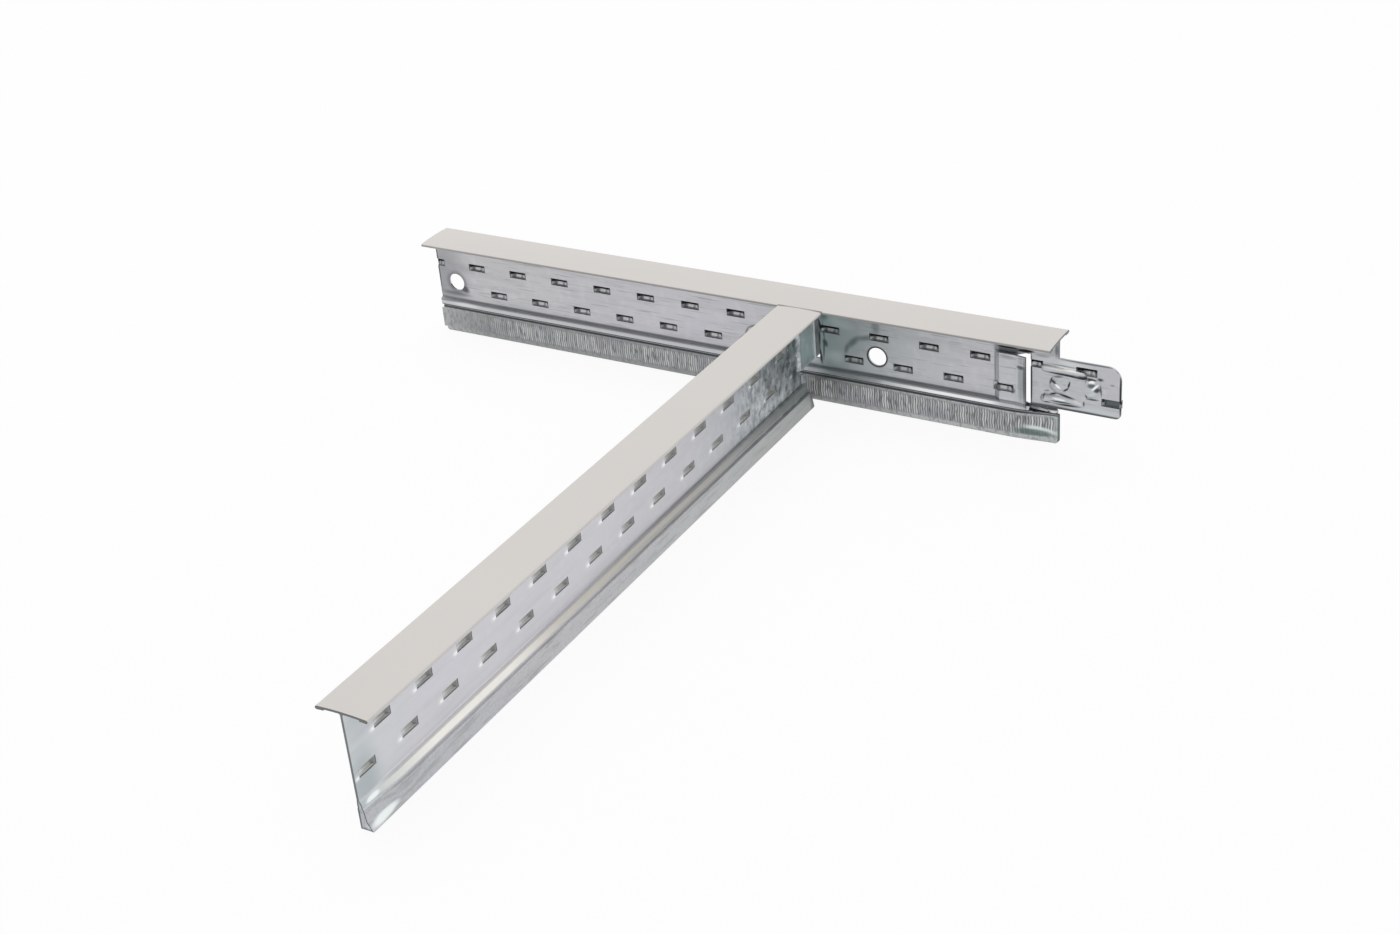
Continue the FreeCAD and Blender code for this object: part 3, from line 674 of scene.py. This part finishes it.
def window_tones(finish, base, local, height, back, window):
    """Shades the windows of a row: colours run along each recess, with others at its two cuts.

    The place along the row is wrapped to one pitch, so one window's mask serves the whole row. The
    height is from the row's middle, and back is how far a point lies behind the web's face.
    """
    sides = 1 - finish.step(abs(local), WINDOW_HALF_LENGTH, WINDOW_HALF_LENGTH + WINDOW_SOFT)
    ends = 1 - finish.step(abs(height), WINDOW_HALF_HEIGHT, WINDOW_HALF_HEIGHT + WINDOW_SOFT)
    recess = finish.band(back, RECESS_FRONT, RECESS_BACK, RECESS_SOFT)
    tone = finish.ramp(local, -WINDOW_HALF_LENGTH, WINDOW_HALF_LENGTH, window.tones)
    upper = finish.step(height, window.upper_from, window.upper_from + UPPER_CUT_SOFT)
    tone = finish.over(tone, upper, window.upper)
    tone = finish.over(tone, 1 - finish.step(height, *LOWER_CUT), window.lower)
    return finish.mix(sides * ends * recess, base, tone)


def window_glints(finish, base, local, height, back):
    """Lays a glint beside each window's lower near corner, with a soft light round it."""
    on_face = 1 - finish.step(back, *WINDOW_GLINT_SKIN)
    for middle, low, half, rise, strength in WINDOW_GLINTS:
        parts = [(local - middle) * (1 / half), (height - low) * (1 / rise)]
        offset = finish.add("ShaderNodeCombineXYZ", {}, parts)
        reach = finish.vector("LENGTH", [offset], "Value")
        glint = (1 - finish.step(reach, *WINDOW_GLINT_FADE)) * on_face * strength
        base = finish.over(base, glint, WINDOW_GLINT_TONE)
    return base


def main_web_tone(finish, streaks):
    """The main web's plain strip, with its rolled streaks, spangle and scratches."""
    spangle = finish.noise(0.35, 1.0)
    scratches = finish.noise(0.9, 2.0, (9.0, 1.0, 0.35))
    web = finish.ramp(finish.x, MAIN_LEFT, TAB_END, MAIN_WEB_TONES)
    web = finish.flecks(web, streaks, 0.45, 0.75, 0.4, (176, 177, 181))
    web = finish.flecks(web, spangle, 0.5, 0.7, 0.25, (216, 216, 219))
    return finish.flecks(web, scratches, 0.58, 0.7, 0.6, (152, 154, 158))


def main_bulb_tone(finish):
    """The main bulb's plain strip, lighter at its ends."""
    grain = finish.noise(1.4, 3.0, (1.0, 1.0, 2.0))
    bulb = finish.ramp(finish.x, MAIN_LEFT, MAIN_RIGHT, MAIN_BULB_TONES)
    return finish.flecks(bulb, grain, 0.45, 0.65, 0.5, (120, 122, 123))


def main_windows(finish, base):
    """Shades the main tee's two rows of windows, which lie higher in the coupling."""
    in_pocket = finish.band(finish.x, POCKET_LEFT, POCKET_RIGHT, POCKET_SOFT)
    back = finish.y + WEB_HALF + in_pocket * POCKET_DEPTH
    upper_rise = finish.step(finish.x, *UPPER_RISES_AT) * COUPLING_RISE
    lower_rise = finish.step(finish.x, *LOWER_RISES_AT) * COUPLING_RISE
    rows = (
        (MAIN_UPPER, finish.z - UPPER_ROW - upper_rise, MAIN_UPPER_WINDOW),
        (MAIN_LOWER, finish.z - LOWER_ROW - lower_rise, MAIN_LOWER_WINDOW),
    )
    for start, height, window in rows:
        local = in_row(finish, finish.x, start)
        base = window_tones(finish, base, local, height, back, window)
    return base


def galvanised_main():
    """The main tee's galvanised strip: web, bulb and folds, then marks, windows and cut ends."""
    finish = Finish("galvanised_main", Metallic=STRIP_METALLIC)
    streaks = finish.noise(0.5, 3.0, (14.0, 1.0, 1.0))
    grain = finish.noise(2.4, 2.0)
    on_web = finish.step(finish.z, BULB_TOP, GROOVE)
    base = finish.mix(on_web, main_bulb_tone(finish), main_web_tone(finish, streaks))
    base = fold_tones(finish, base, finish.z, finish.within([MAIN_FRONT]), MAIN_FOLD_SHADE_AND_SHINE)
    base = patch_tones(finish, base, MAIN_RIDGE_SHADE_AND_SHINE)
    base = spot_tones(finish, base, MAIN_GLINTS)
    base = mark_tones(finish, base, MAIN_MARKS, on_main)
    base = patch_tones(finish, base, MAIN_SLOT_PATCHES)
    base = spot_tones(finish, base, PINCHED_DENT_SHADE_AND_SHINE)
    base = main_windows(finish, base)
    base = patch_tones(finish, base, MAIN_END_PATCHES)
    finish.drive("Base Color", base)
    finish.drive("Roughness", STRIP_ROUGHNESS + STREAK_ROUGHNESS * streaks)
    finish.bump(streaks * 0.5 + grain * 0.5, MAIN_RELIEF)
    return finish.material


def cross_web_tone(finish, streaks, blotch, mottled):
    """The cross web's plain strip: rolled streaks, spangle, and blotches where it is mottled."""
    spangle = finish.noise(0.35, 1.0)
    web = finish.ramp(finish.y, CROSS_NEAR, 0.0, CROSS_WEB_TONES)
    web = finish.flecks(web, streaks, 0.45, 0.75, 0.3, (194, 194, 199))
    web = finish.flecks(web, spangle, 0.5, 0.7, 0.2, (222, 222, 225))
    web = finish.flecks(web, blotch, 0.5, 0.62, 0.55 * mottled, (112, 122, 124))
    light = 1 - finish.step(blotch, 0.34, 0.44)
    return finish.over(web, light * mottled * 0.8, (222, 230, 232))


def cross_bulb_tone(finish, grain):
    """The cross bulb's plain strip, with grain and rolled streaks."""
    rolled = finish.noise(0.9, 3.0, (1.0, 9.0, 1.0))
    bulb = finish.ramp(finish.y, CROSS_NEAR, 0.0, CROSS_BULB_TONES)
    bulb = finish.flecks(bulb, grain, 0.45, 0.65, 0.35, (172, 173, 175))
    return finish.flecks(bulb, rolled, 0.5, 0.65, 0.5, (158, 160, 161))


def cross_ridge(finish, base, height, folded):
    """Lays a painted ridge highlight over a colour, with fine lines where the cross tee's folds
    show.
    """
    right = finish.within([CROSS_RIGHT])
    lines = finish.noise(0.8, 2.0, (1.0, 40.0, 0.35))
    ridge_shine = finish.ramp(finish.y, CROSS_NEAR, 0.0, CROSS_RIDGE_SHINE)
    ridge_shine = finish.flecks(ridge_shine, lines, 0.45, 0.6, folded * 0.5, (150, 148, 142))
    ridge = finish.band(height, *CROSS_RIDGE) * right * CROSS_RIDGE_STRENGTH
    return finish.mix(ridge, base, ridge_shine)


def cross_windows(finish, base):
    """Shades the cross tee's two rows of windows, with their glints."""
    back = WEB_HALF - finish.x
    for start, row in ((CROSS_UPPER, UPPER_ROW), (CROSS_LOWER, LOWER_ROW)):
        local = in_row(finish, finish.y, start)
        base = window_tones(finish, base, local, finish.z - row, back, CROSS_WINDOW)
        base = window_glints(finish, base, local, finish.z - row, back)
    return base


def galvanised_cross():
    """The cross tee's galvanised strip: as the main tee's, with mottles and painted shade by the
    junction.
    """
    finish = Finish("galvanised_cross", Metallic=STRIP_METALLIC)
    streaks = finish.noise(0.5, 3.0, (1.0, 14.0, 1.0))
    grain = finish.noise(1.6, 3.0)
    blotch = finish.noise(0.42, 4.0, (1.0, 1.0, 1.6))
    right = finish.within([CROSS_RIGHT])
    mottled = finish.step(finish.y, *MOTTLES_COME_IN) * right
    folded = finish.step(finish.y, *FOLDS_COME_IN) * right
    height = finish.z + CROSS_DROP
    web = cross_web_tone(finish, streaks, blotch, mottled)
    base = finish.mix(finish.step(height, BULB_TOP, GROOVE), cross_bulb_tone(finish, grain), web)
    base = fold_tones(finish, base, height, folded, CROSS_FOLD_SHADE)
    base = cross_ridge(finish, base, height, folded)
    base = patch_tones(finish, base, CROSS_NEAR_PATCHES)
    base = spot_tones(finish, base, CROSS_GLINTS)
    base = mark_tones(finish, base, CROSS_MARKS, on_cross)
    base = cross_windows(finish, base)

    fleck = finish.noise(0.7, 4.0, (1.0, 1.0, 1.4))
    flecked = mottled * finish.step(height, *FLECKS_START)
    base = finish.flecks(base, fleck, 0.53, 0.64, flecked * 0.6, (98, 107, 108))
    light = 1 - finish.step(fleck, 0.37, 0.44)
    base = finish.over(base, light * flecked * 0.6, (216, 220, 224))
    base = patch_tones(finish, base, CROSS_END_PATCHES)
    finish.drive("Base Color", base)
    finish.drive("Roughness", STRIP_ROUGHNESS + STREAK_ROUGHNESS * streaks)
    finish.bump(streaks * 0.1 + grain * 0.1 + blotch * mottled, MOTTLE_RELIEF)
    return finish.material


def painted(name, patches):
    """Off-white coil coating: satin, with a faint flow, dark steel at the cut ends, and painted
    shade.
    """
    finish = Finish(name, Roughness=PAINT_ROUGHNESS)
    clouds = finish.noise(0.02)
    flow = finish.noise(0.4)
    base = finish.mix(clouds, *(colour(*tone) for tone in PAINT_TONES))
    finish.drive("Base Color", patch_tones(finish, base, patches))
    finish.bump(flow, PAINT_RELIEF)
    return finish.material


def knurled():
    """The knurled strip: crests of painted light, valleys of painted shade, and grey-violet stains.
    """
    finish = Finish("knurled_strip", Metallic=STRIP_METALLIC)
    stain = finish.noise(0.12, 3.0, (1.5, 1.0, 1.0))
    grain = finish.noise(1.2, 3.0, (1.0, 1.0, 4.0))
    valley = finish.ramp(finish.x, MAIN_LEFT, MAIN_RIGHT, KNURL_VALLEY_SHADE)
    crest = finish.ramp(finish.x, MAIN_LEFT, MAIN_RIGHT, KNURL_CREST_LIGHT)
    rolled = finish.mix(finish.attribute("crest"), valley, crest)
    rolled = finish.flecks(rolled, stain, 0.5, 0.68, 0.45, (134, 132, 146))
    rolled = finish.flecks(rolled, grain, 0.5, 0.66, 0.6, (80, 82, 85))
    base = finish.mix(finish.attribute("hold"), main_bulb_tone(finish), rolled)
    finish.drive("Base Color", spot_tones(finish, base, PINCHED_DENT_SHADE_AND_SHINE))
    finish.drive("Roughness", KNURL_ROUGHNESS + GRAIN_ROUGHNESS * grain)
    finish.bump(grain, KNURL_RELIEF)
    return finish.material


def strip_faces(strips, sections, ring):
    """The faces of closed strips, each of so many sections whose points form a ring.

    Both ends of each strip are closed.
    """
    counts = np.arange(strips), np.arange(sections - 1), np.arange(ring)
    strip, section, point = np.meshgrid(*counts, indexing="ij")
    first = (strip * sections + section) * ring
    follows = (point + 1) % ring
    corners = [first + point, first + ring + point, first + ring + follows, first + follows]
    starts = np.arange(strips)[:, None] * sections * ring + np.arange(ring)[None, :]
    ends = np.concatenate([starts, starts + (sections - 1) * ring])
    return np.stack(corners, axis=-1).reshape(-1, 4).tolist() + ends.tolist()


def new_piece(name, places, faces, material):
    """A closed mesh at the origin that rides on the tees, with its faces turned outwards."""
    mesh = bpy.data.meshes.new(name)
    mesh.from_pydata((places.reshape(-1, 3) * MM).tolist(), [], faces)
    shell = bmesh.new()
    shell.from_mesh(mesh)
    bmesh.ops.recalc_face_normals(shell, faces=shell.faces)
    shell.to_mesh(mesh)
    shell.free()
    mesh.materials.append(material)
    piece = bpy.data.objects.new(name, mesh)
    bpy.context.scene.collection.objects.link(piece)
    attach(piece, "root")
    return piece


def add_knurl(name, side, material):
    """The knurled skin of one side of the main bulb, a closed strip carried along X.

    At place x and height z it stands out by half the bulb's width there, plus a clearance, plus the
    knurl's depth times a crest. The crest is a cosine of x with the knurl's pitch, times a seeded
    random strength for each line, and fades out at the strip's upper and lower edges and its ends.
    Its lines waver by a sine of z. The bulb's half width goes from full to pinched by straight
    steps between the values of 3 s squared minus 2 s cubed, where s is the share of the pinched
    length. The strip's other face lies inside the bulb's wall.
    """
    start = MAIN_LEFT + KNURL_START
    stop = MAIN_RIGHT - KNURL_STOP
    count = int((stop - start) / KNURL_PITCH * KNURL_SAMPLES)
    x = np.linspace(start, stop, count)
    z = np.linspace(KNURL_LOW, KNURL_HIGH, KNURL_ROWS)
    generator = np.random.default_rng(KNURL_SEED)
    lines = generator.uniform(*KNURL_STRENGTHS, int((x[-1] - x[0]) / KNURL_PITCH) + 3)
    turns = (x - x[0]) / KNURL_PITCH
    strength = np.interp(turns, np.arange(len(lines)), lines)[:, None]
    waver = KNURL_WAVER * np.sin(KNURL_WAVER_TURN * z)[None, :]
    wave = 0.5 + 0.5 * np.cos(2 * math.pi * (turns[:, None] + waver))
    across = np.clip(np.minimum(z - KNURL_LOW, KNURL_HIGH - z) / KNURL_EDGE, 0, 1)[None, :]
    ends = np.clip((x - x[0]) / KNURL_FADE_IN, KNURL_FAINTEST, 1)
    ends = (ends * np.clip((x[-1] - x) / KNURL_FADE_OUT, 0, 1))[:, None]
    crest = strength * wave * across * ends
    share = np.clip((x - (MAIN_RIGHT - PINCH_LENGTH)) / PINCH_LENGTH, 0, 1)
    steps = np.linspace(0, 1, PINCH_STEPS + 1)
    pinch = np.interp(share, steps, steps ** 2 * (3 - 2 * steps))[:, None]
    half = BULB_HALF + (PINCHED_HALF - BULB_HALF) * pinch
    outer = half + KNURL_PROUD + KNURL_DEPTH * crest
    inner = np.repeat(half - KNURL_BACK, 2, axis=1)
    depth = side * np.concatenate([outer, inner], axis=1)
    height = np.concatenate([z, [KNURL_HIGH, KNURL_LOW]])[None, :]
    places = np.stack(np.broadcast_arrays(x[:, None], depth, height), axis=-1)
    piece = new_piece(name, places, strip_faces(1, count, KNURL_ROWS + 2), material)
    for label, field in (("crest", crest), ("hold", across * ends)):
        values = np.concatenate([field, np.zeros((count, 2))], axis=1).reshape(-1)
        attribute = piece.data.attributes.new(label, "FLOAT", "POINT")
        attribute.data.foreach_set("value", values.astype(np.float32))


def stitch_row(start, numbers, height, offset=0.0):
    """Places of a row's stitches by number: along the tee, height, and offset of the web's face."""
    return [(start + PITCH * number, height, offset) for number in numbers]


def add_stitches(name, places, low, high, on_tee, material):
    """The drawn strip behind each stitch's window, which closes it above and below its strap.

    In a window, with u along it and v up it, both from -1 to 1, the strip lies behind the web's
    face by an edge depth plus a draw times (1 - the size of v cubed) times (1 - u to the eighth).
    Its other face is a strip's thickness behind that. A window that a cut end passes through is
    shorter.
    """
    along, height, offset = (np.array(column)[:, None, None] for column in zip(*places))
    start = np.clip(along - DISH_HALF_LENGTH, low, high)
    end = np.clip(along + DISH_HALF_LENGTH, low, high)
    share = np.linspace(-1, 1, DISH_SECTIONS)[None, :, None]
    rise = np.linspace(-1, 1, DISH_ROWS)
    rise = np.concatenate([rise, rise[::-1]])[None, None, :]
    behind = np.repeat([0.0, DISH_STRIP], DISH_ROWS)[None, None, :]
    draw = (1 - np.abs(rise) ** 3) * (1 - share ** 8)
    parts = np.broadcast_arrays(
        (start + end) / 2 + share * (end - start) / 2,
        offset + DISH_EDGE + DISH_DRAW * draw + behind,
        height + DISH_HALF_HEIGHT * rise,
    )
    faces = strip_faces(len(places), DISH_SECTIONS, 2 * DISH_ROWS)
    new_piece(name, on_tee(*parts), faces, material)


def main_place(along, depth, height):
    """A point of the main tee, with its depth behind the web's front face."""
    return np.stack([along, depth - WEB_HALF, height], axis=-1)


def cross_place(along, depth, height):
    """A point of the cross tee, with its depth behind the web's right face."""
    return np.stack([WEB_HALF - depth, along, height], axis=-1)


def add_pinched_end(material):
    """The closed mouth of the cross bulb's pinched end.

    Rings of the mouth's outline shrink to its middle, and sink in along Y by a draw times one minus
    the square of their share. The lower edge follows the end's chamfer.
    """
    outline = np.array(PINCHED_MOUTH)
    middle = outline.mean(axis=0)
    share, behind = (np.array(column)[:, None] for column in zip(*MOUTH_RINGS))
    ring = middle + (outline - middle)[None, :, :] * share[:, :, None]
    along = CROSS_NEAR + MOUTH_SETBACK + MOUTH_DRAW * (1 - share ** 2) + behind
    along = along + np.clip(END_CHAMFER - ring[:, :, 1], 0, None)
    places = np.stack([ring[:, :, 0], along, ring[:, :, 1]], axis=-1)
    new_piece("pinched_end", places, strip_faces(1, len(MOUTH_RINGS), len(outline)), material)


def add_neck_end(material):
    """The end of the bulb's folded neck, which fills the gap under the tab.

    An upright ellipse is carried along X. Its share of its full size is the fourth root of one
    minus the fourth power of the way along, so the end is round.
    """
    way = np.linspace(0, NECK_LAST, NECK_SECTIONS)[:, None]
    turn = np.linspace(0, 2 * math.pi, NECK_RING, endpoint=False)[None, :]
    share = (1 - way ** 4) ** 0.25
    parts = np.broadcast_arrays(
        NECK_START + (NECK_END - NECK_START) * way,
        NECK_HALF_WIDTH * share * np.cos(turn),
        NECK_HEIGHT + NECK_HALF_HEIGHT * share * np.sin(turn),
    )
    places = np.stack(parts, axis=-1)
    new_piece("neck_end", places, strip_faces(1, NECK_SECTIONS, NECK_RING), material)


def dress(node, material):
    """Gives a CAD node its finish."""
    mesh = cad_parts[node].data
    mesh.materials.clear()
    mesh.materials.append(material)


def place_at(thing, place, axes):
    """Puts a camera or lamp into the scene at a place, turned by the matrix of its axes."""
    bpy.context.scene.collection.objects.link(thing)
    thing.matrix_world = Matrix.Translation(place) @ axes.to_4x4()


def add_camera():
    """The photograph's camera, with its right side squared to its forward line."""
    data = bpy.data.cameras.new("camera")
    data.sensor_width = SENSOR_WIDTH
    data.lens = FOCAL_PIXELS / PHOTO_WIDTH * SENSOR_WIDTH
    data.clip_start = CLIP_START
    data.clip_end = CLIP_END
    camera = bpy.data.objects.new("camera", data)
    back = -CAMERA_FORWARD.normalized()
    right = (CAMERA_RIGHT - CAMERA_RIGHT.dot(back) * back).normalized()
    place_at(camera, CAMERA_PLACE, Matrix((right, back.cross(right), back)).transposed())
    bpy.context.scene.camera = camera


def add_lamp():
    """A square area lamp over the tees, which faces their middle."""
    data = bpy.data.lights.new("overhead", "AREA")
    data.shape = "SQUARE"
    data.size = LAMP_SIZE
    data.energy = LAMP_POWER
    lamp = bpy.data.objects.new("overhead", data)
    place_at(lamp, LAMP_PLACE, (LAMP_AIM - LAMP_PLACE).to_track_quat("-Z", "Y").to_matrix())


def white_when_seen(nodes, plain, white, to_camera, to_metal):
    """Plain light for the object, and white for the camera and for what metal reflects."""
    camera = nodes.add("ShaderNodeLightPath", {}, {}, output="Is Camera Ray")
    metal = camera.other("Is Glossy Ray").math("MAXIMUM", camera.other("Is Transmission Ray"))
    share = camera * to_camera + metal * to_metal
    return nodes.add("ShaderNodeMixShader", {}, [share, plain, white])


def add_world():
    """Plain light from all round, white where it is seen."""
    world = bpy.data.worlds.new("studio")
    bpy.context.scene.world = world
    world.use_nodes = True
    nodes = Nodes(world.node_tree)
    nodes.tree.nodes.clear()
    lights = [
        nodes.add("ShaderNodeBackground", {}, {"Color": (1, 1, 1, 1), "Strength": strength})
        for strength in (WORLD_LIGHT, 1.0)
    ]
    seen = white_when_seen(nodes, *lights, to_camera=1.0, to_metal=1.0)
    nodes.add("ShaderNodeOutputWorld", {}, {"Surface": seen})


def add_floor():
    """A pale floor that keeps the tees' shadow."""
    mesh = bpy.data.meshes.new("floor")
    corners = [(x * FLOOR_HALF, y * FLOOR_HALF, 0) for x, y in ((-1, -1), (1, -1), (1, 1), (-1, 1))]
    mesh.from_pydata(corners, [], [(0, 1, 2, 3)])
    floor = bpy.data.objects.new("floor", mesh)
    bpy.context.scene.collection.objects.link(floor)
    material = bpy.data.materials.new("pale_floor")
    material.use_nodes = True
    nodes = Nodes(material.node_tree)
    nodes.tree.nodes.clear()
    pale = (FLOOR_PALE, FLOOR_PALE, FLOOR_PALE, 1.0)
    plain = nodes.add("ShaderNodeBsdfDiffuse", {}, {"Color": pale})
    white = nodes.add("ShaderNodeEmission", {}, {"Color": (1, 1, 1, 1), "Strength": 1.0})
    seen = white_when_seen(nodes, plain, white, FLOOR_WHITE_SEEN, FLOOR_WHITE_REFLECTED)
    nodes.add("ShaderNodeOutputMaterial", {}, {"Surface": seen})
    mesh.materials.append(material)


main_finish = galvanised_main()
cross_finish = galvanised_cross()
dress("main_tee_web", main_finish)
dress("cross_tee_web", cross_finish)
dress("main_tee_cap", painted("painted_main", MAIN_CAP_PATCHES))
dress("cross_tee_cap", painted("painted_cross", CROSS_CAP_PATCHES))
knurl_finish = knurled()
add_knurl("front_knurl", -1, knurl_finish)
add_knurl("back_knurl", 1, knurl_finish)

# The main tee's lower row leaves out what its holes, slot and louver cut away
main_stitches = stitch_row(MAIN_UPPER, range(13), UPPER_ROW)
main_stitches += stitch_row(MAIN_LOWER, (1, 2, 3, 4, 5, 6, 9, 10, 11), LOWER_ROW)
main_stitches += stitch_row(MAIN_LOWER, (12,), LOWER_ROW + COUPLING_RISE, -POCKET_DEPTH)
tab_stitches = stitch_row(MAIN_UPPER, (13, 14), UPPER_ROW + COUPLING_RISE)
tab_stitches += stitch_row(MAIN_LOWER, (14,), LOWER_ROW + COUPLING_RISE)
cross_stitches = stitch_row(CROSS_UPPER, range(13), UPPER_ROW)
cross_stitches += stitch_row(CROSS_LOWER, range(13), LOWER_ROW)
add_stitches("main_stitches", main_stitches, MAIN_LEFT, MAIN_RIGHT, main_place, main_finish)
add_stitches("tab_stitches", tab_stitches, TAB_ROOT, TAB_END, main_place, main_finish)
add_stitches("cross_stitches", cross_stitches, CROSS_NEAR, 0, cross_place, cross_finish)
add_pinched_end(cross_finish)
add_neck_end(main_finish)

add_camera()
add_floor()
add_world()
add_lamp()
bpy.context.scene.view_settings.view_transform = "Standard"
